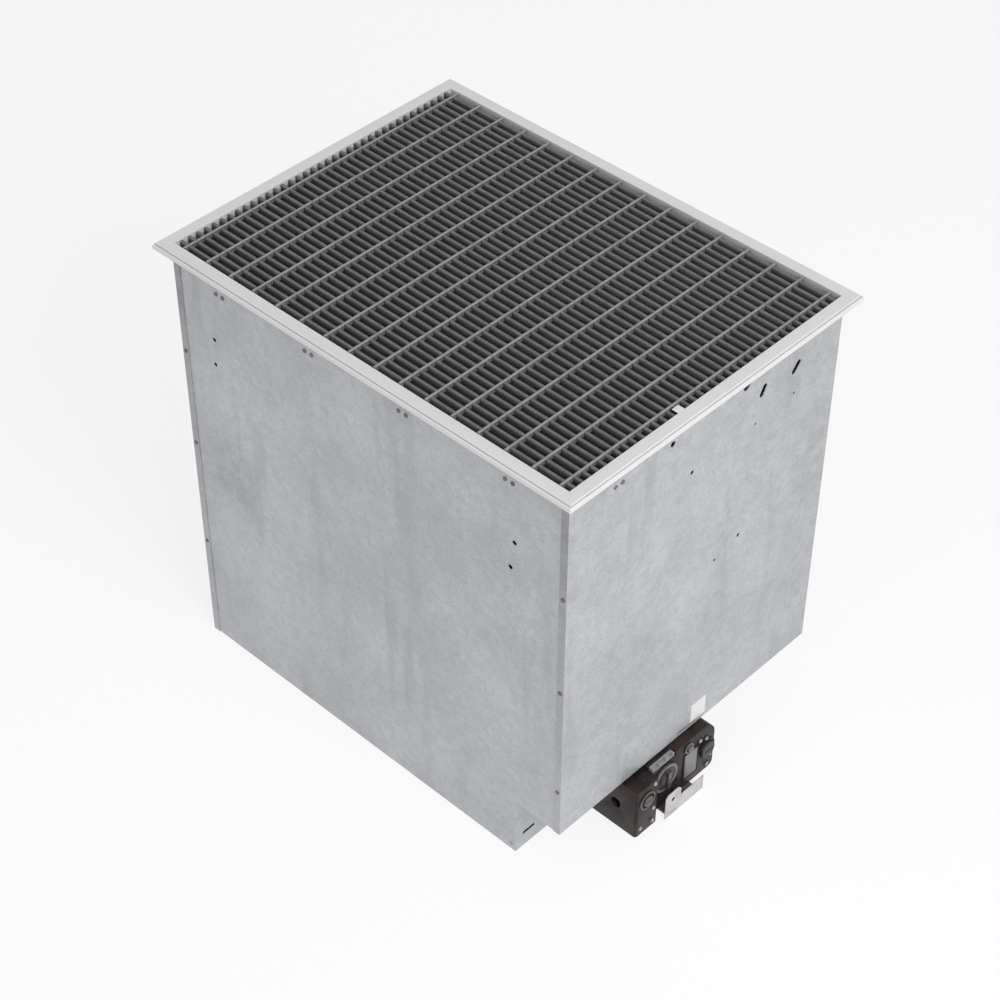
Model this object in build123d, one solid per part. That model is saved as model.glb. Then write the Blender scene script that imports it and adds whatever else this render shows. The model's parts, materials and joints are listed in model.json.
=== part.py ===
from build123d import *
import os

# Gas floor furnace that hangs in a floor opening by its flange.
# Millimetres, +Z up. The origin is under the middle of the bottom pan.
# The long side lies along X, and the control end faces +X.

# Casing
casing_length = 774.0
casing_width = 568.0
overall_height = 787.0
sheet = 1.2
corner_lap = 13.0
step_height = 113.0
step_length = 88.0
clinch_drop = 46.0

# Floor flange and grating
flange_length = 812.8
flange_width = 609.6
flange_steel = 2.0
rim_width = 6.5
rim_groove = 4.5
rim_height = 8.5
leg_height = 22.0
ledge_reach = 14.0
bar_pitch = 15.0
bar_count = 37
bar_thickness = 4.8
bar_depth = 20.0
cross_pitch = 48.8
cross_count = 16
cross_width = 4.0
cross_depth = 7.0
cross_proud = 0.6
grating_drop = 2.0
grating_gap = 1.2

# Liner
liner_half_length = 347.0
liner_half_width = 245.0
liner_bottom = 165.0
liner_sheet = 1.0

# Combustion chamber
chamber_front = 274.5
chamber_back = -285.0
chamber_half_width = 120.0
chamber_bottom = 25.0
chamber_spring = 330.0
chamber_steel = 2.0
flue_height = 360.0
flue_radius = 64.0

# Burner and controls
burner_height = 66.0
burner_radius = 20.0
duct_bottom = 31.2
duct_top = 104.0
duct_half_width = 66.0
valve_face = 402.0
valve_back = 342.0
valve_bottom = 5.0
valve_top = 108.0
valve_left = -94.0
valve_right = 54.0
inlet_left = -141.0
inlet_back = 321.0
inlet_face = 414.0
inlet_floor = 1.0
inlet_bore = 9.3
inlet_depth = 20.0
dial_y = -64.0
dial_z = 69.0
dial_radius = 28.0
shaft_radius = 4.0
shaft_depth = 13.0
button_y = -10.0
button_z = 92.0
button_radius = 6.5
plug_y = -118.0
plug_z = 71.0
plug_ring = 17.0
bracket_face = 421.0
bracket_steel = 1.5
bracket_left = -82.0
bracket_notch = -46.0
bracket_right = 8.0
bracket_ear = 52.0
bracket_low = 30.0
inlet_x = 372.0
inlet_z = 52.0
running_gap = 0.05

half_length = casing_length / 2
half_width = casing_width / 2
wall_x = half_length - step_length
band_bottom = overall_height - flange_steel
opening_x = half_length - sheet - flange_steel
opening_y = half_width - sheet - flange_steel
ledge_top = overall_height - leg_height
plate_x = wall_x + 1.5
pilot_x = 202.0
pilot_y = 40.0
pilot_z = 95.0
pilot_line_z = 91.0
pilot_lead_y = 48.0
pilot_lead_z = 86.0
mouth_x = wall_x + 12.5
lighter_x = 190.0
lighter_top = ledge_top - 18


def block(x0, x1, y0, y1, z0, z1):
    """A box between two opposite corners."""
    middle = Pos((x0 + x1) / 2, (y0 + y1) / 2, (z0 + z1) / 2)
    return middle * Box(x1 - x0, y1 - y0, z1 - z0)


def rod_x(x0, x1, y, z, radius):
    """A round bar along X."""
    return Pos((x0 + x1) / 2, y, z) * Rot(0, 90, 0) * Cylinder(radius, x1 - x0)


def rod_y(y0, y1, x, z, radius):
    """A round bar along Y."""
    return Pos(x, (y0 + y1) / 2, z) * Rot(90, 0, 0) * Cylinder(radius, y1 - y0)


def rod_z(z0, z1, x, y, radius):
    """A round bar along Z."""
    return Pos(x, y, (z0 + z1) / 2) * Cylinder(radius, z1 - z0)


def frame_ring(out_x, out_y, in_x, in_y, z0, z1):
    """A rectangular ring given by its half sizes."""
    outer = block(-out_x, out_x, -out_y, out_y, z0, z1)
    return outer - block(-in_x, in_x, -in_y, in_y, z0 - 1, z1 + 1)


def group(solids):
    """Several separate solids that share one node."""
    return Compound(children=list(solids))


def tube_along(points, radii, radius):
    """A round tube along straight runs joined by tangent arcs."""
    path = FilletPolyline(*points, radius=radii)
    section = Plane(origin=path @ 0, z_dir=path % 0) * Circle(radius)
    tube = sweep(section, path=path)
    expected = 3.14159 * radius**2 * path.length
    print(f"tube radii {radii}, length {path.length:.1f}, volume ratio {tube.volume / expected:.4f}")
    return tube


# Casing

def side_outline(y0, y1):
    """A long side with the corner cut away above the control recess."""
    x_end = half_length - sheet
    deep = block(-x_end, wall_x, y0, y1, 0, band_bottom)
    shallow = block(wall_x, x_end, y0, y1, step_height, band_bottom)
    return deep + shallow


def side_panel_left():
    """The long side towards -Y, with its fixing holes."""
    panel = side_outline(-half_width, -half_width + sheet)
    holes = (
        (-311.0, 650.0, 3.6),
        (-314.0, 602.0, 3.6),
        (291.0, 637.0, 4.0),
        (284.0, 588.0, 4.0),
        (wall_x - 9, 12.0, 3.0),
    )
    for x, z, radius in holes:
        panel -= rod_y(-half_width - 1, -half_width + sheet + 1, x, z, radius)
    return panel


def side_panel_right():
    """The long side towards +Y, with the same two pairs of holes."""
    panel = side_outline(half_width - sheet, half_width)
    for x in (-300.0, 300.0):
        for z in (645.0, 595.0):
            panel -= rod_y(half_width - sheet - 1, half_width + 1, x, z, 4.0)
    return panel


def end_panel(direction, bottom):
    """An end sheet whose edges wrap over the outside of both long sides."""
    lap_y = half_width + sheet
    lap_start = half_length - corner_lap
    plate = block(half_length - sheet, half_length, -lap_y, lap_y, bottom, band_bottom)
    for side in (-1, 1):
        y0, y1 = sorted((side * half_width, side * lap_y))
        plate += block(lap_start, half_length, y0, y1, bottom, band_bottom)
    return plate if direction > 0 else mirror(plate, Plane.YZ)


def slanted_slot(y, z, length, width, angle):
    """A round-ended slot cut through the control end."""
    slot = SlotOverall(length, width)
    face = Plane(origin=(half_length - 3, y, z), x_dir=(0, 1, 0), z_dir=(1, 0, 0))
    return extrude(face * Rot(0, 0, angle) * slot, amount=6)


def control_end_panel():
    """The end above the recess, with air and wiring holes."""
    panel = end_panel(1, step_height)
    round_holes = (
        (-80.0, 741.0, 4.8),
        (74.0, 748.0, 6.8),
        (-34.0, 661.0, 3.4),
        (86.0, 463.0, 3.2),
        (34.0, 449.0, 2.4),
        (102.0, 664.0, 2.2),
        (187.0, 669.0, 2.2),
    )
    for y, z, radius in round_holes:
        panel -= rod_x(half_length - 3, half_length + 3, y, z, radius)
    panel -= slanted_slot(113.0, 718.0, 22.0, 9.0, 62)
    panel -= slanted_slot(186.0, 717.0, 24.0, 9.5, 50)
    panel -= block(half_length - 3, half_length + 3, -20, 21, step_height + 5, step_height + 8.5)
    return panel


def flue_end_panel():
    """The end opposite the controls, with the hole for the flue collar."""
    panel = end_panel(-1, 0)
    return panel - rod_x(-half_length - 3, -half_length + 3, 0, flue_height, flue_radius + sheet)


def duct_opening(x):
    """The burner opening, cut through a plate at x."""
    return block(x - 3, x + 3, -duct_half_width, duct_half_width, duct_bottom, duct_top)


def recess_wall():
    """The upright sheet that closes the deep part behind the controls."""
    inside_y = half_width - sheet
    wall = block(wall_x - sheet, wall_x, -inside_y, inside_y, sheet, step_height + sheet)
    wall -= duct_opening(wall_x)
    wall -= block(wall_x - 3, wall_x + 3, -268, -243, 26, 32)
    return wall


def recess_shelf():
    """The raised floor of the control end, turned up at its edges."""
    inside_y = half_width - sheet
    x_end = half_length - sheet
    shelf = block(wall_x, x_end, -inside_y, inside_y, step_height, step_height + sheet)
    for side in (-1, 1):
        y0, y1 = sorted((side * inside_y, side * (inside_y - sheet)))
        shelf += block(wall_x, x_end, y0, y1, step_height, step_height + 14)
    shelf += block(x_end - sheet, x_end, -inside_y, inside_y, step_height, step_height + 5)
    lead_hole = rod_z(step_height - 1, step_height + sheet + 1, 366, -72, 4.5)
    return shelf - lead_hole


def bottom_pan():
    """The tray under the deep part."""
    x0 = -half_length + sheet
    inside_y = half_width - sheet
    pan = block(x0, wall_x, -inside_y, inside_y, 0, sheet)
    for side in (-1, 1):
        y0, y1 = sorted((side * inside_y, side * (inside_y - sheet)))
        pan += block(x0, wall_x - sheet, y0, y1, 0, 14)
    pan += block(x0, x0 + sheet, -inside_y, inside_y, 0, 14)
    return pan


def floor_flange():
    """Band, groove and rolled rim that carry the furnace on the floor."""
    out_x = flange_length / 2
    out_y = flange_width / 2
    rim_in_x = out_x - rim_width
    rim_in_y = out_y - rim_width
    band_x = rim_in_x + flange_steel
    band_y = rim_in_y + flange_steel
    rim_top = overall_height - rim_groove
    rim_bottom = rim_top - rim_height
    rim = block(-out_x, out_x, -out_y, out_y, rim_bottom, rim_top)
    rim = fillet(rim.edges().filter_by(Axis.Z), 3.5)
    rim = fillet(rim.faces().sort_by(Axis.Z)[-1].edges(), 3.0)
    rim -= block(-rim_in_x, rim_in_x, -rim_in_y, rim_in_y, rim_bottom - 1, rim_top + 1)
    band = block(-band_x, band_x, -band_y, band_y, band_bottom, overall_height)
    band = fillet(band.edges().filter_by(Axis.Z), 2.5)
    band -= block(-opening_x, opening_x, -opening_y, opening_y, band_bottom - 1, overall_height + 1)
    turn_down = frame_ring(band_x, band_y, rim_in_x, rim_in_y, rim_bottom + 2, band_bottom)
    leg = frame_ring(
        opening_x + flange_steel,
        opening_y + flange_steel,
        opening_x,
        opening_y,
        ledge_top,
        band_bottom + 0.5,
    )
    return rim + band + turn_down + leg


def grille_ledge():
    """The angle inside the casing that the grating sits on."""
    wall_in_x = half_length - sheet
    wall_in_y = half_width - sheet
    shelf_x = wall_in_x - ledge_reach
    shelf_y = wall_in_y - ledge_reach
    shelf = frame_ring(wall_in_x, wall_in_y, shelf_x, shelf_y, ledge_top - flange_steel, ledge_top)
    upright = frame_ring(
        wall_in_x,
        wall_in_y,
        wall_in_x - flange_steel,
        wall_in_y - flange_steel,
        ledge_top - 18,
        ledge_top - flange_steel,
    )
    return shelf + upright


def dome(radius, height):
    """A low dome head that stands on the XY plane."""
    ball_radius = (radius**2 + height**2) / (2 * height)
    ball = Pos(0, 0, height - ball_radius) * Sphere(ball_radius)
    return ball & Pos(0, 0, height / 2) * Box(4 * radius, 4 * radius, height)


def corner_screws():
    """Sheet metal screws that hold the wrapped corners."""
    heads = []
    head = dome(3.6, 1.8)
    screw_x = half_length - corner_lap / 2
    for x_side in (-1, 1):
        for y_side in (-1, 1):
            for z in (592.0, 411.0, 203.0):
                surface = Pos(x_side * screw_x, y_side * (half_width + sheet), z)
                heads.append(surface * Rot(-90 * y_side, 0, 0) * head)
    return group(heads)


def flange_rivets():
    """Pairs of pressed rivets in a row under the flange."""
    heads = []
    head = dome(3.4, 1.2)
    row_z = overall_height - clinch_drop
    spread = 7.0
    for x in (-290.0, -104.0, 82.0, 280.0):
        for y_side in (-1, 1):
            for shift in (-spread, spread):
                spot = Pos(x + shift, y_side * half_width, row_z)
                heads.append(spot * Rot(-90 * y_side, 0, 0) * head)
    for y in (-190.0, 0.0, 190.0):
        for shift in (-spread, spread):
            heads.append(Pos(-half_length, y + shift, row_z) * Rot(0, -90, 0) * head)
    for shift in (-spread, spread):
        heads.append(Pos(half_length, -188.0 + shift, row_z - 2) * Rot(0, 90, 0) * head)
    return group(heads)


def blank_plate():
    """A small bare plate low on the control end."""
    return block(half_length, half_length + 0.5, 9, 43, step_height + 9, step_height + 46)


# Grating

def grating_half_sizes():
    return opening_x - grating_gap, opening_y - grating_gap


def cross_positions():
    first = -cross_pitch * (cross_count - 1) / 2
    return [first + cross_pitch * i for i in range(cross_count)]


def grille_bars():
    """Bearing bars on edge, notched from above for the cross bars."""
    reach_x, _ = grating_half_sizes()
    top = overall_height - grating_drop
    outline = Plane.XZ * Pos(0, top - bar_depth / 2) * Rectangle(2 * reach_x, bar_depth)
    for x in cross_positions():
        outline -= Plane.XZ * Pos(x, top - cross_depth / 2) * Rectangle(cross_width, cross_depth)
    bar = extrude(outline, amount=bar_thickness / 2, both=True)
    first = -bar_pitch * (bar_count - 1) / 2
    return group(Pos(0, first + bar_pitch * i, 0) * bar for i in range(bar_count))


def grille_cross_bars():
    """Flat cross bars pressed into the notches, a little proud of the top."""
    _, reach_y = grating_half_sizes()
    top = overall_height - grating_drop
    half = cross_width / 2
    bar = block(-half, half, -reach_y, reach_y, top - cross_depth, top + cross_proud)
    top_edges = bar.faces().sort_by(Axis.Z)[-1].edges().filter_by(Axis.Y)
    bar = chamfer(top_edges, 0.5)
    return group(Pos(x, 0, 0) * bar for x in cross_positions())


def grille_lift_tab():
    """A small finger tab welded on the grating at the control end."""
    top = overall_height - grating_drop
    return block(opening_x - 12, opening_x - 0.3, -69, -56, top, top + 1.6)


# Liner

def liner_left():
    return block(
        -liner_half_length, liner_half_length,
        -liner_half_width, -liner_half_width + liner_sheet,
        liner_bottom, ledge_top - 24,
    )


def liner_right():
    return mirror(liner_left(), Plane.XZ)


def liner_control_end():
    inside_y = liner_half_width - liner_sheet
    x = liner_half_length
    return block(x - liner_sheet, x, -inside_y, inside_y, liner_bottom, ledge_top - 24)


def liner_flue_end():
    """The liner at the flue end, cut out round the draft diverter."""
    panel = mirror(liner_control_end(), Plane.YZ)
    x = -liner_half_length
    return panel - block(x - 1, x + 2, -104, 104, liner_bottom - 1, flue_height + 116)


def liner_spacers():
    """Upright tabs that hold the liner off the casing."""
    tabs = []
    side_gap = half_width - sheet - liner_half_width
    end_gap = half_length - sheet - liner_half_length
    for z in (250.0, 640.0):
        for x in (-220.0, 220.0):
            tab = block(x - 1, x + 1, liner_half_width, liner_half_width + side_gap, z, z + 36)
            tabs += [tab, mirror(tab, Plane.XZ)]
        for y in (-150.0, 150.0):
            tab = block(liner_half_length, liner_half_length + end_gap, y - 1, y + 1, z, z + 36)
            tabs += [tab, mirror(tab, Plane.YZ)]
    return group(tabs)


# Combustion chamber

def tombstone(half_w, bottom):
    """A flat-bottomed outline with a round top, drawn on the YZ plane."""
    left_foot = (-half_w, bottom)
    left_spring = (-half_w, chamber_spring)
    right_spring = (half_w, chamber_spring)
    right_foot = (half_w, bottom)
    edges = Line(left_foot, left_spring)
    edges += ThreePointArc(left_spring, (0, chamber_spring + half_w), right_spring)
    edges += Line(right_spring, right_foot)
    edges += Line(right_foot, left_foot)
    return make_face(edges.edges())


def chamber_slab(x0, x1, inset):
    outline = tombstone(chamber_half_width - inset, chamber_bottom + inset)
    return extrude(Plane.YZ.offset(x0) * outline, amount=x1 - x0)


def lighter_hole(z0, z1):
    return rod_z(z0, z1, lighter_x, 0, 14.5)


def chamber_shell():
    """The wrapped wall of the fire box, open at both ends."""
    outer = chamber_slab(chamber_back, chamber_front, 0)
    inner = chamber_slab(chamber_back - 1, chamber_front + 1, chamber_steel)
    return outer - inner - lighter_hole(chamber_spring, chamber_spring + chamber_half_width + 20)


def chamber_front_plate():
    """The fire box's front, open to the burner throat."""
    plate = chamber_slab(chamber_front, chamber_front + chamber_steel, -6)
    return plate - duct_opening(chamber_front)


def chamber_back_plate():
    """The fire box's back, open to the flue neck."""
    plate = chamber_slab(chamber_back - chamber_steel, chamber_back, -6)
    return plate - rod_x(chamber_back - 4, chamber_back + 1, 0, flue_height, 58)


def burner_throat():
    """The short duct between the fire box and the recess wall."""
    x0 = chamber_front + chamber_steel
    x1 = wall_x - sheet
    wide = duct_half_width
    inner = block(x0 - 1, x1 + 1, -wide, wide, duct_bottom, duct_top)
    wide += sheet
    outer = block(x0, x1, -wide, wide, duct_bottom - sheet, duct_top + sheet)
    return outer - inner


def chamber_feet():
    """Two channels that stand the fire box on the pan."""
    feet = []
    top = chamber_bottom
    for x in (-200.0, 170.0):
        foot = block(x - 20, x + 20, -100, 100, sheet, top)
        foot -= block(x - 18, x + 18, -101, 101, sheet + 2, top - 2)
        feet.append(foot)
    return group(feet)


def chamber_baffle():
    """A bent plate that holds the flame gases back from the outlet."""
    plate = block(-190, 60, -85, 85, 250, 252)
    lip = block(60, 62, -85, 85, 215, 252)
    hanger = block(-190, -188, -20, 20, 252, chamber_spring + chamber_half_width)
    hanger &= chamber_slab(chamber_back, chamber_front, chamber_steel)
    return plate + lip + hanger


def flue_neck():
    """The ring that leads from the fire box into the draft diverter."""
    x1 = chamber_back - chamber_steel
    x0 = -302.0
    return rod_x(x0, x1, 0, flue_height, 60) - rod_x(x0 - 1, x1 + 1, 0, flue_height, 58)


def draft_diverter():
    """A hood, open below, between the flue neck and the collar."""
    x0 = -366.0
    x1 = -302.0
    hood = block(x0, x1, -100, 100, flue_height - 110, flue_height + 112)
    hood -= block(x0 + sheet, x1 - sheet, -98.8, 98.8, flue_height - 111, flue_height + 110.8)
    hood -= rod_x(x1 - 3, x1 + 1, 0, flue_height, 58)
    hood -= rod_x(x0 - 1, x0 + 3, 0, flue_height, 60)
    return hood


def flue_collar():
    """The socket at the flue end that a vent pipe pushes into."""
    x0 = -flange_length / 2 + 0.4
    x1 = -366.0
    collar = rod_x(x0, x1, 0, flue_height, flue_radius + sheet)
    collar += rod_x(-half_length - sheet, -half_length, 0, flue_height, flue_radius + 20)
    collar += rod_x(x0 + 6, x0 + 9, 0, flue_height, flue_radius + sheet + 1.6)
    return collar - rod_x(x0 - 1, x1 + 1, 0, flue_height, flue_radius)


# Burner

def burner_tube():
    """A closed round tube with a row of flame ports along its top."""
    x0 = -180.0
    x1 = mouth_x - 103
    tube = rod_x(x0, x1, 0, burner_height, burner_radius)
    tube -= rod_x(x0 + 2, x1 - 2, 0, burner_height, burner_radius - 2)
    tube -= rod_x(x1 - 3, x1 + 1, 0, burner_height, 13.5)
    port_pitch = 14.0
    port_count = 26
    top = burner_height + burner_radius
    for i in range(port_count):
        x = -168 + port_pitch * i
        tube -= block(x, x + 2.2, -11, 11, burner_height + 8, top + 1)
    return tube


def venturi():
    """The mixing tube, flared at its mouth, with three air ports."""
    start = mouth_x - 103
    waist = mouth_x - 63
    flare = mouth_x - 17
    lines = Polyline(
        (start, 0),
        (start, 15.0),
        (waist, 12.0),
        (flare, 20.0),
        (mouth_x - 3, 20.0),
        (mouth_x - 3, 24.0),
        (mouth_x, 24.0),
        (mouth_x, 0),
        close=True,
    )
    core = Polyline(
        (start - 1, 0),
        (start - 1, 13.5),
        (waist, 10.5),
        (flare, 18.5),
        (mouth_x - 2, 18.5),
        (mouth_x - 2, 0),
        close=True,
    )
    outer = revolve(Plane.XZ * make_face(lines.edges()), Axis.X)
    hollow = revolve(Plane.XZ * make_face(core.edges()), Axis.X)
    shape = Pos(0, 0, burner_height) * (outer - hollow)
    shape -= air_ports(mouth_x - 4, mouth_x + 1)
    return shape - rod_x(mouth_x - 4, mouth_x + 1, 0, burner_height, 7.5)


def air_ports(x0, x1):
    """Three round ports spaced evenly about the burner axis."""
    ports = None
    for i in range(3):
        swing = Pos(0, 0, burner_height) * Rot(90 + 120 * i, 0, 0)
        port = swing * rod_x(x0, x1, 13.2, 0, 4.3)
        ports = port if ports is None else ports + port
    return ports


def burner_support():
    """The cradle that holds the closed end of the burner tube."""
    cradle = block(-150, -146, -30, 30, chamber_bottom + chamber_steel, burner_height)
    return cradle - rod_x(-151, -145, 0, burner_height, burner_radius)


def plate_screw_spots():
    return [(y, z) for y in (-72, 72) for z in (28, 105)]


def burner_plate():
    """The plate that carries the burner on the recess wall."""
    plate = block(plate_x, plate_x + 1.6, -80, 80, 19, 112)
    plate -= rod_x(plate_x - 1, plate_x + 3, 0, burner_height, 20.5)
    for y in (-48, 48):
        plate -= block(plate_x - 1, plate_x + 3, y - 9, y + 9, 40, 58)
    for y, z in ((pilot_y, pilot_line_z), (-pilot_lead_y, pilot_lead_z)):
        plate -= rod_x(plate_x - 1, plate_x + 3, y, z, 2.6)
    for y, z in plate_screw_spots():
        plate -= rod_x(plate_x - 1, plate_x + 3, y, z, 2.5)
    return plate


def burner_plate_gasket():
    """A fibre seal behind the burner plate."""
    gasket = block(wall_x, plate_x, -80, 80, 19, 112) - duct_opening(wall_x)
    for y, z in plate_screw_spots():
        gasket -= rod_x(wall_x - 1, wall_x + 3, y, z, 2.5)
    return gasket


def burner_plate_screws():
    """Four hexagon head screws of the burner plate."""
    screws = []
    seat = plate_x + 1.6
    for y, z in plate_screw_spots():
        head = extrude(Plane.YZ.offset(seat) * Pos(y, z) * RegularPolygon(4.6, 6), amount=3.6)
        screws.append(head + rod_x(wall_x, seat, y, z, 2.4))
    return group(screws)


def venturi_sleeve_ring():
    """The weld ring that joins the venturi to the burner plate."""
    x0 = plate_x + 1.6
    ring = rod_x(x0, x0 + 2.4, 0, burner_height, 26)
    return ring - rod_x(x0 - 1, x0 + 4, 0, burner_height, 20.0)


def air_shutter():
    """A disc that turns on the orifice neck over the air ports."""
    x0 = mouth_x + 0.3
    disc = rod_x(x0, x0 + 1.5, 0, burner_height, 24)
    disc += block(x0, x0 + 1.5, -5, 5, burner_height + 20, burner_height + 33)
    disc -= air_ports(x0 - 1, x0 + 3)
    return disc - rod_x(x0 - 1, x0 + 3, 0, burner_height, 7 + running_gap)


def orifice_holder():
    """The brass fitting that aims the gas jet into the venturi."""
    neck = rod_x(mouth_x - 8, mouth_x + 7, 0, burner_height, 7.0)
    hexagon = Plane.YZ.offset(mouth_x + 5) * Pos(0, burner_height) * RegularPolygon(14, 6)
    body = neck + extrude(hexagon, amount=12)
    return body - rod_x(mouth_x - 9, mouth_x + 18, 0, burner_height, 1.2)


def manifold_nipple():
    """The pipe stub between the valve and the orifice holder."""
    x0 = mouth_x + 17
    pipe = rod_x(x0, valve_back, 0, burner_height, 10.7)
    return pipe - rod_x(x0 - 1, valve_back + 1, 0, burner_height, 8.0)


# Pilot

def pilot_bracket():
    """A bent strap on the burner tube that carries the pilot."""
    foot_z = burner_height + burner_radius
    foot = block(pilot_x - 16, pilot_x, -14, 14, foot_z, foot_z + 1.5)
    arm = block(pilot_x - 1.5, pilot_x, -34, 34, foot_z, foot_z + 15)
    for y in (pilot_y - 16, 16 - pilot_y):
        arm -= rod_x(pilot_x - 2, pilot_x + 1, y, pilot_z, 4.02)
    return foot + arm


def pilot_burner():
    """The small burner head that lights the main burner."""
    y = pilot_y - 16
    body = rod_x(pilot_x - 10, pilot_x + 20, y, pilot_z, 4.0)
    hood = block(pilot_x - 22, pilot_x - 10, y - 7, y + 7, pilot_z - 5, pilot_z + 10)
    hood -= block(pilot_x - 23, pilot_x - 12, y - 5, y + 5, pilot_z - 3, pilot_z + 11)
    return body + hood


def pilot_tube():
    """The gas line from the valve to the pilot burner."""
    y = pilot_y - 16
    points = [
        (pilot_x + 20, y, pilot_z),
        (pilot_x + 52, y, pilot_z),
        (plate_x - 14, pilot_y, pilot_line_z),
        (valve_back, pilot_y, pilot_line_z),
    ]
    return tube_along(points, [22, 22], 2.0)


def thermopile():
    """The heat probe beside the pilot flame."""
    y = 16 - pilot_y
    probe = rod_x(pilot_x - 22, pilot_x + 20, y, pilot_z, 4.0)
    return probe + rod_x(pilot_x + 20, pilot_x + 26, y, pilot_z, 5.0)


def thermopile_lead():
    """The sheathed lead from the probe to the valve."""
    y = 16 - pilot_y
    points = [
        (pilot_x + 26, y, pilot_z),
        (pilot_x + 54, y, pilot_z),
        (plate_x - 14, -pilot_lead_y, pilot_lead_z),
        (valve_back, -pilot_lead_y, pilot_lead_z),
    ]
    return tube_along(points, [20, 20], 1.7)


# Gas valve

def valve_shaft_bore():
    bottom = valve_face - shaft_depth - 1
    return rod_x(bottom, valve_face + 1, dial_y, dial_z, shaft_radius + running_gap)


def valve_body():
    """The die-cast body with its regulator end and inlet block."""
    main = block(valve_back, valve_face, valve_left, valve_right, valve_bottom, valve_top)
    end_edges = main.edges().filter_by(Axis.X).group_by(Axis.Y)[-1]
    main = fillet(end_edges.sort_by(Axis.Z)[-1], 30)
    low_edges = main.edges().filter_by(Axis.X).group_by(Axis.Z)[0]
    main = fillet(low_edges.sort_by(Axis.Y)[-1], 9)
    main -= block(valve_face - 10, valve_face + 1, valve_left, -40, valve_top - 9, valve_top + 1)
    inlet = block(inlet_back, inlet_face, inlet_left, valve_left, inlet_floor, valve_top - 6)
    front_edges = inlet.edges().filter_by(Axis.Z).group_by(Axis.X)[-1]
    inlet = fillet(front_edges.sort_by(Axis.Y)[0], 5)
    collar = rod_x(valve_face, valve_face + 2, button_y, button_z, 10)
    lugs = block(350, 366, -70, -50, 2.5, valve_bottom) + block(350, 366, -20, 0, 2.5, valve_bottom)
    body = main + inlet + collar + lugs
    for y in (-60, 5):
        body += block(350, 376, y, y + 28, valve_top, step_height)
    body -= valve_shaft_bore()
    body -= rod_x(384, valve_face + 4, button_y, button_z, button_radius + running_gap)
    body -= rod_y(inlet_left - 1, inlet_left + inlet_depth + 1, inlet_x, inlet_z, inlet_bore)
    return body - rod_x(valve_back - 1, valve_back + 20, 0, burner_height, 8.0)


def valve_nameplate():
    """A bare plate on the valve's face."""
    return block(valve_face, valve_face + 0.8, -16, 13, 24, 76)


def regulator_cap():
    """The round cap over the pressure regulator."""
    cap = rod_x(valve_face, valve_face + 7, 34, 56, 15)
    cap = fillet(cap.faces().sort_by(Axis.X)[-1].edges(), 2)
    slot = block(valve_face + 5, valve_face + 8, 25, 43, 54.5, 57.5)
    return cap - slot


def terminal_block():
    """The light strip for the thermostat wires."""
    low = valve_top - 9
    strip = block(valve_face - 10, valve_face - 1, valve_left + 2, -42, low, low + 8)
    for i in range(3):
        y = valve_left + 8 + 16 * i
        strip -= block(valve_face - 7, valve_face, y, y + 8, low + 2, low + 9)
    return strip


def pressure_tap_plug():
    """The ringed plug on the inlet block."""
    x0 = inlet_face
    ring = rod_x(x0, x0 + 2.5, plug_y, plug_z, plug_ring)
    ring -= rod_x(x0 - 1, x0 + 4, plug_y, plug_z, plug_ring - 3.5)
    plug = rod_x(x0, x0 + 4, plug_y, plug_z, plug_ring - 7)
    plug -= block(x0 + 2, x0 + 5, plug_y - 6, plug_y + 6, plug_z - 1.2, plug_z + 1.2)
    return group([ring, plug])


def valve_bracket():
    """The light sheet bracket under the front of the valve."""
    x0 = bracket_face
    x1 = x0 + bracket_steel
    ear = block(x0, x1, bracket_left, bracket_notch, inlet_floor, bracket_ear)
    ear = chamfer(ear.edges().filter_by(Axis.X).group_by(Axis.Z)[-1], 6)
    low = block(x0, x1, bracket_notch, bracket_right, inlet_floor, bracket_low)
    floor_leg = block(350, x0, bracket_left + 8, bracket_right - 6, inlet_floor, inlet_floor + bracket_steel)
    return ear + low + floor_leg - rod_x(x0 - 1, x1 + 1, -64, 34, 4.0)


def valve_screws():
    """Slotted screws round the valve's covers."""
    screws = []
    spots = (
        (valve_face, 34, 78),
        (valve_face, 45, 34),
        (valve_face, 19, 84),
        (valve_face, -36, 14),
        (valve_face, 40, 15),
        (inlet_face, -102, 40),
        (inlet_face, -101, 94),
        (inlet_face, -131, 16),
        (inlet_face, -103, 12),
    )
    for x, y, z in spots:
        head = rod_x(x, x + 2.2, y, z, 3.4)
        screws.append(head - block(x + 1.3, x + 3, y - 4, y + 4, z - 0.5, z + 0.5))
    return group(screws)


def gas_cock_dial():
    """The dial that turns from off through pilot to on."""
    x0 = valve_face + 0.4
    skirt = rod_x(x0, x0 + 3, dial_y, dial_z, dial_radius)
    skirt = chamfer(skirt.faces().sort_by(Axis.X)[-1].edges(), 1.0)
    notch_count = 24
    for i in range(notch_count):
        centre = Pos(0, dial_y, dial_z) * Rot(360 / notch_count * i, 0, 0)
        skirt -= centre * rod_x(x0 - 1, x0 + 4, 0, dial_radius + 0.9, 1.6)
    hub = rod_x(x0 + 3, x0 + 6, dial_y, dial_z, 15)
    grip = block(x0 + 3, x0 + 10.5, dial_y - 4, dial_y + 4, dial_z - 19, dial_z + 19)
    grip = fillet(grip.edges().filter_by(Axis.X), 3.0)
    shaft = rod_x(valve_face - shaft_depth, x0, dial_y, dial_z, shaft_radius)
    return skirt + hub + grip + shaft - pointer_slot(x0, 11)


def pointer_slot(x0, end):
    """The groove along the grip, from its floor to a given depth."""
    return block(x0 + 9.7, x0 + end, dial_y - 1, dial_y + 1, dial_z + 4, dial_z + 17)


def dial_pointer():
    """The pale line let into the dial's grip."""
    return pointer_slot(valve_face + 0.4, 10.7)


def reset_button():
    """The sprung button that opens the pilot gas."""
    button = rod_x(391, valve_face + 7, button_y, button_z, button_radius)
    return fillet(button.faces().sort_by(Axis.X)[-1].edges(), 1.2)


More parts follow.
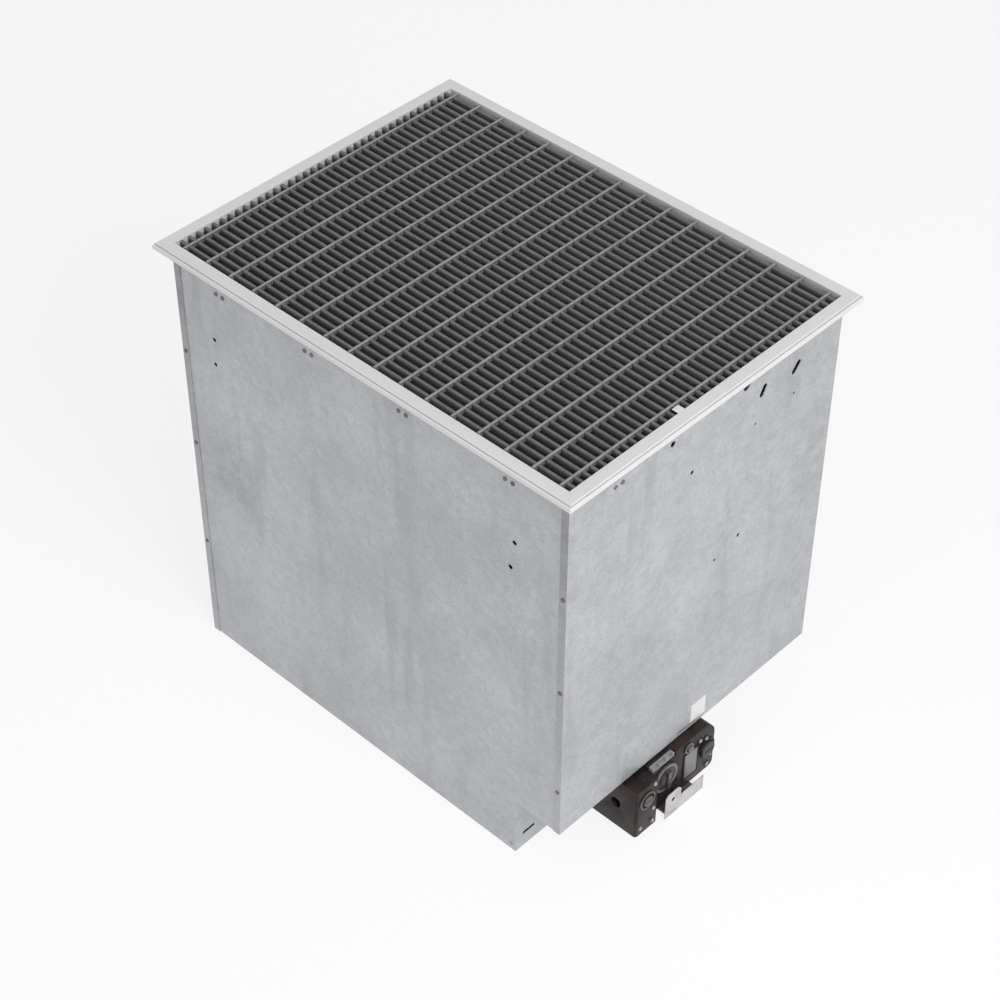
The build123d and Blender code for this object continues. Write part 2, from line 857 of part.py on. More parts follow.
# Limit switch and lighter tube

def limit_switch():
    """The overheat switch on the outside of the liner."""
    x0 = liner_half_length
    body = block(x0, x0 + 16, -90, -56, 570, 620)
    return body + rod_x(x0 + 16, x0 + 20, -73, 604, 8)


def limit_switch_lead():
    """The lead from the limit switch down through the shelf."""
    points = [
        (357, -73, 570),
        (357, -73, 420),
        (366, -72, 260),
        (366, -72, step_height - 2),
    ]
    return tube_along(points, [300, 300], 2.0)


def lighter_tube():
    """The straight tube that a lighter is put down through."""
    bottom = chamber_spring + chamber_half_width - 18
    tube = rod_z(bottom, lighter_top, lighter_x, 0, 16)
    tube += rod_z(lighter_top - 2, lighter_top, lighter_x, 0, 22)
    tube += block(lighter_x, lighter_x + 36, -6, 6, lighter_top - 2, lighter_top)
    tube -= chamber_slab(chamber_back, chamber_front, 0)
    return tube - lighter_hole(bottom - 20, lighter_top + 1)


def lighter_cover_pin():
    """The rivet that the lighter cover swings on."""
    shank = rod_z(lighter_top, lighter_top + 2.4, lighter_x + 29, 0, 2.0)
    return shank + rod_z(lighter_top + 2.2, lighter_top + 3.6, lighter_x + 29, 0, 3.4)


def lighter_cover():
    """A thin lid that swings aside over the lighter tube."""
    z0 = lighter_top + 0.1
    lid = rod_z(z0, z0 + 1.5, lighter_x, 0, 20)
    lid += block(lighter_x, lighter_x + 29, -6, 6, z0, z0 + 1.5)
    lid += rod_z(z0, z0 + 1.5, lighter_x + 29, 0, 6)
    lid += block(lighter_x - 20, lighter_x - 18, -5, 5, z0, z0 + 9)
    return lid - rod_z(z0 - 1, z0 + 3, lighter_x + 29, 0, 2 + running_gap)


builders = [
    side_panel_left,
    side_panel_right,
    control_end_panel,
    flue_end_panel,
    recess_wall,
    recess_shelf,
    bottom_pan,
    floor_flange,
    grille_ledge,
    corner_screws,
    flange_rivets,
    blank_plate,
    grille_bars,
    grille_cross_bars,
    grille_lift_tab,
    liner_left,
    liner_right,
    liner_control_end,
    liner_flue_end,
    liner_spacers,
    chamber_shell,
    chamber_front_plate,
    chamber_back_plate,
    burner_throat,
    chamber_feet,
    chamber_baffle,
    flue_neck,
    draft_diverter,
    flue_collar,
    burner_tube,
    venturi,
    burner_support,
    burner_plate,
    burner_plate_gasket,
    burner_plate_screws,
    venturi_sleeve_ring,
    air_shutter,
    orifice_holder,
    manifold_nipple,
    pilot_bracket,
    pilot_burner,
    pilot_tube,
    thermopile,
    thermopile_lead,
    valve_body,
    valve_nameplate,
    regulator_cap,
    terminal_block,
    pressure_tap_plug,
    valve_bracket,
    valve_screws,
    gas_cock_dial,
    dial_pointer,
    reset_button,
    limit_switch,
    limit_switch_lead,
    lighter_tube,
    lighter_cover_pin,
    lighter_cover,
]

os.makedirs("parts", exist_ok=True)
for build in builders:
    export_step(build(), f"parts/{build.__name__}.step")
print(len(builders), "nodes written")
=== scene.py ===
import json
import math
import bpy
from mathutils import Matrix, Vector


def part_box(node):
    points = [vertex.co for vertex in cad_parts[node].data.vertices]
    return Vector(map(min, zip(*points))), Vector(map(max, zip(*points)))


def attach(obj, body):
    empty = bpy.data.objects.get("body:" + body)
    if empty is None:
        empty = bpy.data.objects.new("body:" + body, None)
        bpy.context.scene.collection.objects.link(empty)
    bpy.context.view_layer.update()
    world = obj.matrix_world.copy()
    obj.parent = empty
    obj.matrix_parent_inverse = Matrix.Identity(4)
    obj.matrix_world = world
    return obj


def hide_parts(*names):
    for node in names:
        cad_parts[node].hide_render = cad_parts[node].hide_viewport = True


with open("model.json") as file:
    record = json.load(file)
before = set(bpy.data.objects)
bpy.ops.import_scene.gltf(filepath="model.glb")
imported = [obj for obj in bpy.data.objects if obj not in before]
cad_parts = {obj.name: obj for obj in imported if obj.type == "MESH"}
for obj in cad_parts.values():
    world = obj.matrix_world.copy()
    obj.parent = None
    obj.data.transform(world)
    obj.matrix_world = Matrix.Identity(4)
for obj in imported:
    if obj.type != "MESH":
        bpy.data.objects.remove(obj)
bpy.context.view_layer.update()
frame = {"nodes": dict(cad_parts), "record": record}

print("frame loaded:", len(frame["nodes"]), "nodes")

mm = 0.001

camera = {
    "target": Vector((0.3317, -0.3551, 0.7873)),   # a point in the flange's plane
    "distance": 2.964,
    "azimuth": 43.52,
    "elevation": 42.43,
    "roll": 0.19,
    "lens": 84.49,
    "sensor": 36.0,
}


def placeCamera():
    azimuth = math.radians(camera["azimuth"])
    elevation = math.radians(camera["elevation"])
    back = Vector((
        math.sin(azimuth) * math.cos(elevation),
        -math.cos(azimuth) * math.cos(elevation),
        math.sin(elevation),
    ))
    right = Vector((math.cos(azimuth), math.sin(azimuth), 0))
    up = back.cross(right)
    turn = Matrix((right, up, back)).transposed()
    roll = Matrix.Rotation(math.radians(camera["roll"]), 3, "Z")
    data = bpy.data.cameras.new("photoCamera")
    data.sensor_width = camera["sensor"]
    data.lens = camera["lens"]
    data.clip_end = 50
    view = bpy.data.objects.new("photoCamera", data)
    place = (turn @ roll).to_4x4()
    place.translation = camera["target"] + back * camera["distance"]
    view.matrix_world = place
    bpy.context.scene.collection.objects.link(view)
    bpy.context.scene.camera = view


placeCamera()
print("camera placed")


# small helpers for node trees
def startMaterial(name):
    material = bpy.data.materials.new(name)
    material.use_nodes = True
    tree = material.node_tree
    return material, tree, tree.nodes["Principled BSDF"]


def addNode(tree, kind, links=None, **values):
    node = tree.nodes.new(kind)
    for key, value in values.items():
        setattr(node, key, value)
    for socket, source in (links or {}).items():
        if isinstance(source, bpy.types.NodeSocket):
            tree.links.new(source, node.inputs[socket])
        else:
            node.inputs[socket].default_value = source
    return node


def objectPoints(tree, stretch=(1, 1, 1)):
    coords = addNode(tree, "ShaderNodeTexCoord")
    mapping = addNode(tree, "ShaderNodeMapping", {"Vector": coords.outputs["Object"], "Scale": stretch})
    return mapping.outputs["Vector"]


def noiseOn(tree, points, scale, detail=3.0, roughness=0.55):
    return addNode(tree, "ShaderNodeTexNoise", {
        "Vector": points, "Scale": scale, "Detail": detail, "Roughness": roughness,
    }).outputs["Fac"]


def remap(tree, value, low, high, toLow, toHigh):
    return addNode(tree, "ShaderNodeMapRange", {
        "Value": value, "From Min": low, "From Max": high, "To Min": toLow, "To Max": toHigh,
    }).outputs["Result"]


def math2(tree, operation, first, second):
    return addNode(tree, "ShaderNodeMath", {0: first, 1: second}, operation=operation).outputs[0]


def mixColours(tree, amount, first, second, how="MIX"):
    node = addNode(tree, "ShaderNodeMix", {"Factor": amount}, data_type="RGBA", blend_type=how)
    for socket, colour in ((node.inputs[6], first), (node.inputs[7], second)):
        if isinstance(colour, bpy.types.NodeSocket):
            tree.links.new(colour, socket)
        else:
            socket.default_value = (*colour, 1)
    return node.outputs[2]


def bumpFrom(tree, height, strength, distance, onto=None):
    links = {"Height": height, "Strength": strength, "Distance": distance}
    if onto is not None:
        links["Normal"] = onto
    return addNode(tree, "ShaderNodeBump", links).outputs["Normal"]


# zinc coated sheet: cloudy tone, faint spangle, fine speckle and water stains
galvanised = {
    "pale": (0.52, 0.53, 0.55),
    "dull": (0.44, 0.45, 0.468),
    "stain": (0.30, 0.295, 0.29),
    # tone of the painted shade on the wrapped edges
    "paintedShadeTone": (0.17, 0.165, 0.165),
    "lapFace": 0.2846,                 # outside of the wrapped edge starts here
    "paintedLapShade": (0.25, 0.76, 0.12, 0.62),   # height and share at its foot, then at its top
    "lapPatchScale": 26.0,
    "mottleScale": 34.0,
    "smudges": (                       # place, reach and share of each listed patch
        ((-0.30, -0.285, 0.40), 0.11, 0.50),
        ((0.21, -0.285, 0.57), 0.10, 0.30),
        ((0.387, -0.19, 0.30), 0.12, 0.28),
        ((0.387, 0.24, 0.52), 0.13, 0.35),
        ((-0.10, 0.285, 0.45), 0.16, 0.35),
        ((-0.387, -0.12, 0.60), 0.14, 0.35),
    ),
    "cloudScale": 6.5,
    "spangleScale": 85.0,
    "speckleScale": 420.0,
    "streakStretch": (9, 9, 1.2),
    "streakScale": 2.2,
    "bowScale": 3.1,
    "grainScale": 300.0,
    "metallic": 0.55,
    "rough": (0.42, 0.58),
}


def smudgesOn(tree, points, colour):
    mottle = remap(tree, noiseOn(tree, points, galvanised["mottleScale"], 5.0, 0.7), 0.42, 0.66, 0, 1)
    for place, reach, share in galvanised["smudges"]:
        away = addNode(tree, "ShaderNodeVectorMath", {0: points, 1: place}, operation="DISTANCE")
        near = remap(tree, away.outputs["Value"], reach * 0.2, reach, share, 0)
        colour = mixColours(tree, math2(tree, "MULTIPLY", near, mottle), colour, galvanised["stain"])
    return colour


def paintedLapShade(tree, points, colour):
    # painted shade on the wrapped edge, heaviest under the flange, broken into patches
    place = addNode(tree, "ShaderNodeSeparateXYZ", {"Vector": points})
    outside = math2(tree, "ABSOLUTE", place.outputs["Y"], 0)
    onLap = math2(tree, "GREATER_THAN", outside, galvanised["lapFace"])
    foot, top, footShare, topShare = galvanised["paintedLapShade"]
    # painted shade: darker towards the top of the wrapped edge, under the flange
    rising = remap(tree, place.outputs["Z"], foot, top, footShare, topShare)
    patches = noiseOn(tree, points, galvanised["lapPatchScale"], 4.0, 0.6)
    patchy = remap(tree, patches, 0.3, 0.7, 0.6, 1.2)
    amount = math2(tree, "MULTIPLY", math2(tree, "MULTIPLY", onLap, rising), patchy)
    return mixColours(tree, amount, colour, galvanised["paintedShadeTone"])


def shadeBy(tree, colour, amount):
    # multiplies a colour by one grey value
    grey = addNode(tree, "ShaderNodeCombineColor", {"Red": amount, "Green": amount, "Blue": amount})
    return mixColours(tree, 1.0, colour, grey.outputs[0], "MULTIPLY")


def zincSheet(name, wrapped=False):
    material, tree, shader = startMaterial(name)
    points = objectPoints(tree)
    clouds = remap(tree, noiseOn(tree, points, galvanised["cloudScale"], 5.0), 0.32, 0.68, 0, 1)
    colour = mixColours(tree, clouds, galvanised["dull"], galvanised["pale"])
    spangle = addNode(tree, "ShaderNodeTexVoronoi", {
        "Vector": points, "Scale": galvanised["spangleScale"], "Randomness": 1.0,
    })
    colour = shadeBy(tree, colour, remap(tree, spangle.outputs["Color"], 0, 1, 0.90, 1.08))
    speckle = noiseOn(tree, points, galvanised["speckleScale"], 2.0)
    colour = shadeBy(tree, colour, remap(tree, speckle, 0.3, 0.7, 0.88, 1.10))
    streakPoints = objectPoints(tree, galvanised["streakStretch"])
    streaks = noiseOn(tree, streakPoints, galvanised["streakScale"], 5.0, 0.6)
    colour = mixColours(tree, remap(tree, streaks, 0.56, 0.78, 0, 0.5), colour, galvanised["stain"])
    colour = smudgesOn(tree, points, colour)
    if wrapped:
        colour = paintedLapShade(tree, points, colour)
    tree.links.new(colour, shader.inputs["Base Color"])
    shader.inputs["Metallic"].default_value = galvanised["metallic"]
    rough = remap(tree, spangle.outputs["Color"], 0, 1, *galvanised["rough"])
    tree.links.new(rough, shader.inputs["Roughness"])
    bowed = bumpFrom(tree, noiseOn(tree, points, galvanised["bowScale"], 1.5), 0.35, 0.02)
    grain = bumpFrom(tree, noiseOn(tree, points, galvanised["grainScale"], 2.0), 0.10, 0.0006, bowed)
    tree.links.new(grain, shader.inputs["Normal"])
    return material


# light coat on the flange: dust, scuffs and a slightly warm tone where it is rubbed
flangeCoat = {
    "clean": (0.72, 0.72, 0.717),
    "grimy": (0.60, 0.595, 0.58),
    "dustShare": 0.28,
    "dustScale": 14.0,
    "fineScale": 260.0,
    "grainScale": 220.0,
    "metallic": 0.15,
    "rough": (0.40, 0.55),             # clean, then dusty
}


def flangePaint():
    material, tree, shader = startMaterial("flangePaint")
    points = objectPoints(tree)
    clumps = noiseOn(tree, points, flangeCoat["dustScale"], 6.0, 0.65)
    dust = remap(tree, clumps, 0.50, 0.78, 0, flangeCoat["dustShare"])
    colour = mixColours(tree, dust, flangeCoat["clean"], flangeCoat["grimy"])
    fine = remap(tree, noiseOn(tree, points, flangeCoat["fineScale"], 2.0), 0.3, 0.7, 0, 0.16)
    colour = mixColours(tree, fine, colour, flangeCoat["grimy"])
    tree.links.new(colour, shader.inputs["Base Color"])
    shader.inputs["Metallic"].default_value = flangeCoat["metallic"]
    rough = remap(tree, dust, 0, flangeCoat["dustShare"], *flangeCoat["rough"])
    tree.links.new(rough, shader.inputs["Roughness"])
    grain = bumpFrom(tree, noiseOn(tree, points, flangeCoat["grainScale"], 3.0), 0.08, 0.0004)
    tree.links.new(grain, shader.inputs["Normal"])
    return material


# dark coat on the bearing bars, worn paler on their top edges, with painted light down their upper
# sides
gratingCoat = {
    "coat": (0.066, 0.065, 0.069),
    "paintedLit": (0.142, 0.140, 0.141),
    "top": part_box("grille_bars")[1].z,
    "paintedLightDepth": 6.0 * mm,              # how far down the sides the light is painted
    "wearScale": 60.0,
    "pitScale": 500.0,
    "metallic": 0.35,
    "rough": (0.62, 0.42),             # coated, then where the light is painted
}


def gratingDark():
    material, tree, shader = startMaterial("gratingDark")
    points = objectPoints(tree)
    height = addNode(tree, "ShaderNodeSeparateXYZ", {"Vector": points}).outputs["Z"]
    top = gratingCoat["top"]
    # painted light: lighter towards the top of each bar and down its upper sides, made patchy by the
    # wear noise
    nearTop = remap(tree, height, top - gratingCoat["paintedLightDepth"], top - mm, 0, 1)
    wear = remap(tree, noiseOn(tree, points, gratingCoat["wearScale"], 5.0, 0.7), 0.25, 0.62, 0.35, 1)
    amount = math2(tree, "MULTIPLY", nearTop, wear)
    colour = mixColours(tree, amount, gratingCoat["coat"], gratingCoat["paintedLit"])
    tree.links.new(colour, shader.inputs["Base Color"])
    shader.inputs["Metallic"].default_value = gratingCoat["metallic"]
    tree.links.new(remap(tree, amount, 0, 1, *gratingCoat["rough"]), shader.inputs["Roughness"])
    pits = bumpFrom(tree, noiseOn(tree, points, gratingCoat["pitScale"], 2.0), 0.2, 0.0004)
    tree.links.new(pits, shader.inputs["Normal"])
    return material


# plain metals: base tone, tone of the patches, metallic, roughness and scale of the grain
metals = {
    "crossBar": ((0.30, 0.295, 0.29), (0.18, 0.175, 0.17), 0.6, 0.42, 300),
    "fixing": ((0.20, 0.19, 0.185), (0.09, 0.08, 0.075), 0.8, 0.42, 500),
    "chamber": ((0.36, 0.34, 0.33), (0.16, 0.12, 0.10), 0.55, 0.55, 180),
    "burner": ((0.42, 0.39, 0.36), (0.20, 0.15, 0.12), 0.7, 0.5, 260),
    "brass": ((0.72, 0.53, 0.25), (0.48, 0.34, 0.16), 1.0, 0.32, 500),
    "tubing": ((0.70, 0.70, 0.70), (0.48, 0.48, 0.48), 0.95, 0.36, 400),
    "copper": ((0.66, 0.36, 0.24), (0.34, 0.20, 0.14), 1.0, 0.38, 400),
    "barePlate": ((0.26, 0.25, 0.265), (0.19, 0.185, 0.19), 0.5, 0.5, 350),
    "bracket": ((0.60, 0.575, 0.58), (0.34, 0.31, 0.32), 0.6, 0.42, 300),
    "brightScrew": ((0.50, 0.49, 0.47), (0.26, 0.25, 0.24), 0.85, 0.36, 500),
    "darkPlug": ((0.10, 0.095, 0.09), (0.23, 0.22, 0.21), 0.7, 0.40, 400),
    "paleLabel": ((0.74, 0.74, 0.75), (0.58, 0.58, 0.59), 0.1, 0.50, 200),
}


metalWear = {"patchScale": 38.0, "patchShare": 0.8, "roughRise": 0.2}


def plainMetal(key):
    base, patch, metallic, rough, grainScale = metals[key]
    share = metalWear["patchShare"]
    material, tree, shader = startMaterial(key + "Metal")
    points = objectPoints(tree)
    clumps = noiseOn(tree, points, metalWear["patchScale"], 5.0, 0.62)
    patches = remap(tree, clumps, 0.45, 0.75, 0, share)
    tree.links.new(mixColours(tree, patches, base, patch), shader.inputs["Base Color"])
    shader.inputs["Metallic"].default_value = metallic
    roughness = remap(tree, patches, 0, share, rough, rough + metalWear["roughRise"])
    tree.links.new(roughness, shader.inputs["Roughness"])
    grain = bumpFrom(tree, noiseOn(tree, points, grainScale, 3.0), 0.15, 0.0005)
    tree.links.new(grain, shader.inputs["Normal"])
    return material


# dark die casting with a reddish brown cast and a fine grain
castingCoat = {
    "dark": (0.012, 0.010, 0.010),
    "brown": (0.036, 0.018, 0.017),
    "dust": (0.075, 0.066, 0.066),
    "dustShare": 0.55,
    "patchScale": 30.0,
    "dustScale": 120.0,
    "grainScale": 700.0,
    "metallic": 0.1,
    "specular": 0.22,
    "rough": (0.42, 0.62),             # bare, then dusty
}


def darkCasting():
    material, tree, shader = startMaterial("darkCasting")
    points = objectPoints(tree)
    patches = remap(tree, noiseOn(tree, points, castingCoat["patchScale"], 4.0), 0.4, 0.66, 0, 1)
    colour = mixColours(tree, patches, castingCoat["dark"], castingCoat["brown"])
    clumps = noiseOn(tree, points, castingCoat["dustScale"], 6.0, 0.7)
    dust = remap(tree, clumps, 0.56, 0.76, 0, castingCoat["dustShare"])
    colour = mixColours(tree, dust, colour, castingCoat["dust"])
    tree.links.new(colour, shader.inputs["Base Color"])
    shader.inputs["Metallic"].default_value = castingCoat["metallic"]
    shader.inputs["Specular IOR Level"].default_value = castingCoat["specular"]
    rough = remap(tree, dust, 0, castingCoat["dustShare"], *castingCoat["rough"])
    tree.links.new(rough, shader.inputs["Roughness"])
    grain = bumpFrom(tree, noiseOn(tree, points, castingCoat["grainScale"], 2.0), 0.25, 0.0005)
    tree.links.new(grain, shader.inputs["Normal"])
    return material


# plastics and fibre: base tone, worn tone and roughness
plastics = {
    "pale": ((0.24, 0.24, 0.24), (0.13, 0.13, 0.125), 0.5),
    "dark": ((0.030, 0.028, 0.028), (0.075, 0.07, 0.07), 0.45),
    "button": ((0.10, 0.095, 0.10), (0.19, 0.18, 0.18), 0.34),
    "fibre": ((0.55, 0.53, 0.47), (0.36, 0.34, 0.30), 0.9),
}


plasticWear = {"share": 0.7, "scale": 90.0, "roughRise": 0.15, "grainScale": 900.0}


def mouldedPlastic(key):
    base, worn, rough = plastics[key]
    share = plasticWear["share"]
    material, tree, shader = startMaterial(key + "Moulding")
    points = objectPoints(tree)
    wear = remap(tree, noiseOn(tree, points, plasticWear["scale"], 4.0), 0.45, 0.75, 0, share)
    tree.links.new(mixColours(tree, wear, base, worn), shader.inputs["Base Color"])
    roughness = remap(tree, wear, 0, share, rough, rough + plasticWear["roughRise"])
    tree.links.new(roughness, shader.inputs["Roughness"])
    grain = bumpFrom(tree, noiseOn(tree, points, plasticWear["grainScale"], 2.0), 0.12, 0.0003)
    tree.links.new(grain, shader.inputs["Normal"])
    return material


finishes = {
    "galvanised_sheet": zincSheet("zincSheet"),
    "flange_paint": flangePaint(),
    "zinc_fixings": plainMetal("fixing"),
    "dark_grating": gratingDark(),
    "bright_cross_bar": plainMetal("crossBar"),
    "chamber_steel": plainMetal("chamber"),
    "burner_steel": plainMetal("burner"),
    "brass": plainMetal("brass"),
    "soft_aluminium_tube": plainMetal("tubing"),
    "copper_lead": plainMetal("copper"),
    "seal_fibre": mouldedPlastic("fibre"),
    "dark_casting": darkCasting(),
    "bare_plate": plainMetal("barePlate"),
    "pale_plastic": mouldedPlastic("pale"),
    "dark_plastic": mouldedPlastic("dark"),
    "button_plastic": mouldedPlastic("button"),
}
ownFinishes = {
    "valve_bracket": plainMetal("bracket"),
    "pressure_tap_plug": plainMetal("darkPlug"),
    "blank_plate": plainMetal("paleLabel"),
    "control_end_panel": zincSheet("zincWrapped", wrapped=True),
}
ownFinishes["flue_end_panel"] = ownFinishes["control_end_panel"]
brightScrew = plainMetal("brightScrew")


def dressNode(name, material):
    mesh = frame["nodes"][name].data
    mesh.materials.clear()
    mesh.materials.append(material)


for part in frame["record"]["subparts"]:
    dressNode(part["node"], ownFinishes.get(part["node"], finishes[part["material_slot"]]))


# small helpers for modelling
def deselectAll():
    bpy.ops.object.select_all(action="DESELECT")


def makeActive(piece):
    deselectAll()
    piece.select_set(True)
    bpy.context.view_layer.objects.active = piece


def settle(piece, name):
    # the piece goes to the origin and its place goes into its mesh
    makeActive(piece)
    piece.name = name
    bpy.ops.object.transform_apply(location=True, rotation=True, scale=True)
    return piece


def addBlock(name, low, high):
    deselectAll()
    middle = [(a + b) / 2 * mm for a, b in zip(low, high)]
    bpy.ops.mesh.primitive_cube_add(size=1, location=middle)
    bpy.context.object.scale = [(b - a) * mm for a, b in zip(low, high)]
    return settle(bpy.context.object, name)


def addRound(name, base, radius, height, sides=32):
    # a short upright round whose foot stands on base
    deselectAll()
    x, y, z = (value * mm for value in base)
    bpy.ops.mesh.primitive_cylinder_add(
        vertices=sides, radius=radius * mm, depth=height * mm, location=(x, y, z + height * mm / 2))
    return settle(bpy.context.object, name)


def pickFaces(piece, test):
    makeActive(piece)
    bpy.ops.object.mode_set(mode="EDIT")
    bpy.ops.mesh.select_mode(type="FACE")
    bpy.ops.mesh.select_all(action="DESELECT")
    bpy.ops.object.mode_set(mode="OBJECT")
    for face in piece.data.polygons:
        face.select = test(face.center, face.normal)
    bpy.ops.object.mode_set(mode="EDIT")


def insetTop(piece, steps):
    # rings the top face: each step is an inset and a rise, in millimetres
    top = max(vertex.co.z for vertex in piece.data.vertices)
    pickFaces(piece, lambda centre, normal: centre.z > top - mm * 0.01 and normal.z > 0.9)
    for inward, rise in steps:
        if inward:
            bpy.ops.mesh.inset(thickness=inward * mm, depth=rise * mm)
        else:
            bpy.ops.mesh.extrude_region_move(TRANSFORM_OT_translate={"value": (0, 0, rise * mm)})
    bpy.ops.object.mode_set(mode="OBJECT")


def applyModifier(piece, kind, **values):
    makeActive(piece)
    modifier = piece.modifiers.new(kind.title(), kind)
    for key, value in values.items():
        setattr(modifier, key, value)
    bpy.ops.object.modifier_apply(modifier=modifier.name)


def soften(piece, width, segments=2, angle=35):
    applyModifier(
        piece, "BEVEL", width=width * mm, segments=segments,
        limit_method="ANGLE", angle_limit=math.radians(angle), use_clamp_overlap=True)


def nodeCopy(nodeName, name):
    # a merged copy of a CAD mesh, ready to be worked on
    piece = bpy.data.objects.new(name, frame["nodes"][nodeName].data.copy())
    bpy.context.scene.collection.objects.link(piece)
    makeActive(piece)
    bpy.ops.object.mode_set(mode="EDIT")
    bpy.ops.mesh.select_all(action="SELECT")
    bpy.ops.mesh.remove_doubles(threshold=0.002 * mm)
    bpy.ops.mesh.dissolve_limited(angle_limit=math.radians(0.5))
    bpy.ops.object.mode_set(mode="OBJECT")
    return piece


def joinAll(pieces, name):
    deselectAll()
    for piece in pieces:
        piece.select_set(True)
    bpy.context.view_layer.objects.active = pieces[0]
    bpy.ops.object.join()
    return settle(bpy.context.object, name)


facing = {
    "+x": (0, math.pi / 2, 0),
    "-x": (0, -math.pi / 2, 0),
    "+y": (-math.pi / 2, 0, 0),
    "-y": (math.pi / 2, 0, 0),
}


def placeCopies(source, name, places):
    copies = []
    for point, way in places:
        copy = bpy.data.objects.new(name, source.data.copy())
        copy.location = [value * mm for value in point]
        copy.rotation_euler = facing[way]
        bpy.context.scene.collection.objects.link(copy)
        copies.append(copy)
    bpy.data.objects.remove(source)
    return joinAll(copies, name)


def finishPiece(piece, body, slotName, material, *nodes):
    piece.data.materials.clear()
    piece.data.materials.append(material)
    makeActive(piece)
    bpy.ops.object.shade_smooth_by_angle(angle=math.radians(35))
    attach(piece, body)
    if nodes:
        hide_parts(*nodes)


# floor flange: rolled rim, narrow groove, flat band and the leg that turns down inside
flange = {
    "rimFoot": 777.0,
    "rimWall": 5.5,
    "rimRadius": 2.0,
    "rimTurns": 5,
    "rimFlat": 0.2,
    "grooveDrop": 1.6,
    "grooveWidth": 0.8,
    "grooveSlope": 0.3,
    "bandRise": 3.3,
    "bandRound": 0.8,
    "bandWidth": 17.6,
    "edgeRound": 0.7,
    "edgeDrop": 0.42,
    "legDrop": 20.6,
    "steel": 1.2,
}


def modelFlange():
    low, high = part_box("floor_flange")
    deselectAll()
    bpy.ops.mesh.primitive_plane_add(size=1, location=(0, 0, flange["rimFoot"] * mm))
    piece = bpy.context.object
    piece.scale = (high.x - low.x, high.y - low.y, 1)
    settle(piece, "floorFlange")
    steps = [(0, flange["rimWall"])]
    turns = flange["rimTurns"]
    radius = flange["rimRadius"]
    for i in range(turns):
        a, b = (math.radians(90 / turns * k) for k in (i, i + 1))
        steps.append((radius * (math.cos(a) - math.cos(b)), radius * (math.sin(b) - math.sin(a))))
    steps += [
        (flange["rimFlat"], 0),
        (flange["grooveSlope"], -flange["grooveDrop"]),
        (flange["grooveWidth"], 0),
        (flange["grooveSlope"], flange["bandRise"]),
        (flange["bandRound"], flange["bandRound"]),
        (flange["bandWidth"], 0),
        (flange["edgeRound"], -flange["edgeDrop"]),
        (0, -flange["legDrop"]),
    ]
    insetTop(piece, steps)
    # the last ring's face and the first plane go, so the sheet is open above and below
    pickFaces(piece, lambda centre, normal: centre.xy.length < 0.1)
    bpy.ops.mesh.delete(type="FACE")
    bpy.ops.object.mode_set(mode="OBJECT")
    applyModifier(piece, "SOLIDIFY", thickness=flange["steel"] * mm, offset=-1, use_even_offset=True)
    top = max(vertex.co.z for vertex in piece.data.vertices)
    print("flange top", round(top, 5), "CAD", round(high.z, 5))
    return piece


finishPiece(modelFlange(), "casing", "flange_paint", finishes["flange_paint"], "floor_flange")
print("flange modelled")


# small fixings, each modelled once along +Z and copied
hexHead = {"washerThick": 0.8, "rim": 0.22, "slope": 0.12, "dish": 0.5}   # rim and slope are shares


def hexScrew(washer, head, height):
    thick = hexHead["washerThick"]
    foot = addRound("washer", (0, 0, 0), washer, thick, 28)
    soften(foot, 0.25, 1)
    top = addRound("hexHead", (0, 0, thick), head, height - thick, 6)
    insetTop(top, [(head * hexHead["rim"], 0.0), (head * hexHead["slope"], -hexHead["dish"])])
    soften(top, 0.2, 1, 50)
    return joinAll([foot, top], "hexScrew")


rivetShape = {"radius": 3.4, "height": 1.2, "rim": 0.28, "slope": 0.12, "floor": 0.2, "dish": 0.7}


def pressedRivet():
    radius, height = rivetShape["radius"], rivetShape["height"]
    rivet = addRound("pressedRivet", (0, 0, 0), radius, height, 24)
    insetTop(rivet, [
        (radius * rivetShape["rim"], 0.0),
        (radius * rivetShape["slope"], -height * rivetShape["dish"]),
        (radius * rivetShape["floor"], 0.2),
    ])
    soften(rivet, 0.2, 1)
    return rivet


cornerScrews = {"x": 380.5, "y": 285.2, "heights": (592, 411, 203), "size": (3.6, 2.7, 1.8)}
rivetRow = {
    "z": 741,
    "controlEndZ": 739,
    "spread": 7,
    "sideFace": 284,
    "endFace": 387,
    "longSide": (-290, -104, 82, 280),
    "flueEnd": (-190, 0, 190),
    "controlEnd": (-188,),
}


def cornerScrewPlaces():
    places = []
    for x in (-cornerScrews["x"], cornerScrews["x"]):
        for z in cornerScrews["heights"]:
            places.append(((x, -cornerScrews["y"], z), "-y"))
            places.append(((x, cornerScrews["y"], z), "+y"))
    return places


def rivetPlaces():
    places = []
    z, side, end = rivetRow["z"], rivetRow["sideFace"], rivetRow["endFace"]
    for shift in (-rivetRow["spread"], rivetRow["spread"]):
        for x in rivetRow["longSide"]:
            places.append(((x + shift, -side, z), "-y"))
            places.append(((x + shift, side, z), "+y"))
        places += [((-end, y + shift, z), "-x") for y in rivetRow["flueEnd"]]
        places += [((end, y + shift, rivetRow["controlEndZ"]), "+x") for y in rivetRow["controlEnd"]]
    return places


screws = placeCopies(hexScrew(*cornerScrews["size"]), "cornerScrewHeads", cornerScrewPlaces())
finishPiece(screws, "casing", "zinc_fixings", finishes["zinc_fixings"], "corner_screws")
rivets = placeCopies(pressedRivet(), "pressedRivets", rivetPlaces())
finishPiece(rivets, "casing", "zinc_fixings", finishes["zinc_fixings"], "flange_rivets")
print("fixings modelled")


# grating: bars with worn, slightly rounded edges
gratingEdges = {"bars": 0.55, "tab": 0.5}
bars = nodeCopy("grille_bars", "bearingBars")
soften(bars, gratingEdges["bars"], 1, 60)
finishPiece(bars, "grating", "dark_grating", finishes["dark_grating"], "grille_bars")
tab = nodeCopy("grille_lift_tab", "liftTab")
soften(tab, gratingEdges["tab"], 2)
finishPiece(tab, "grating", "zinc_fixings", finishes["flange_paint"], "grille_lift_tab")
print("grating modelled")


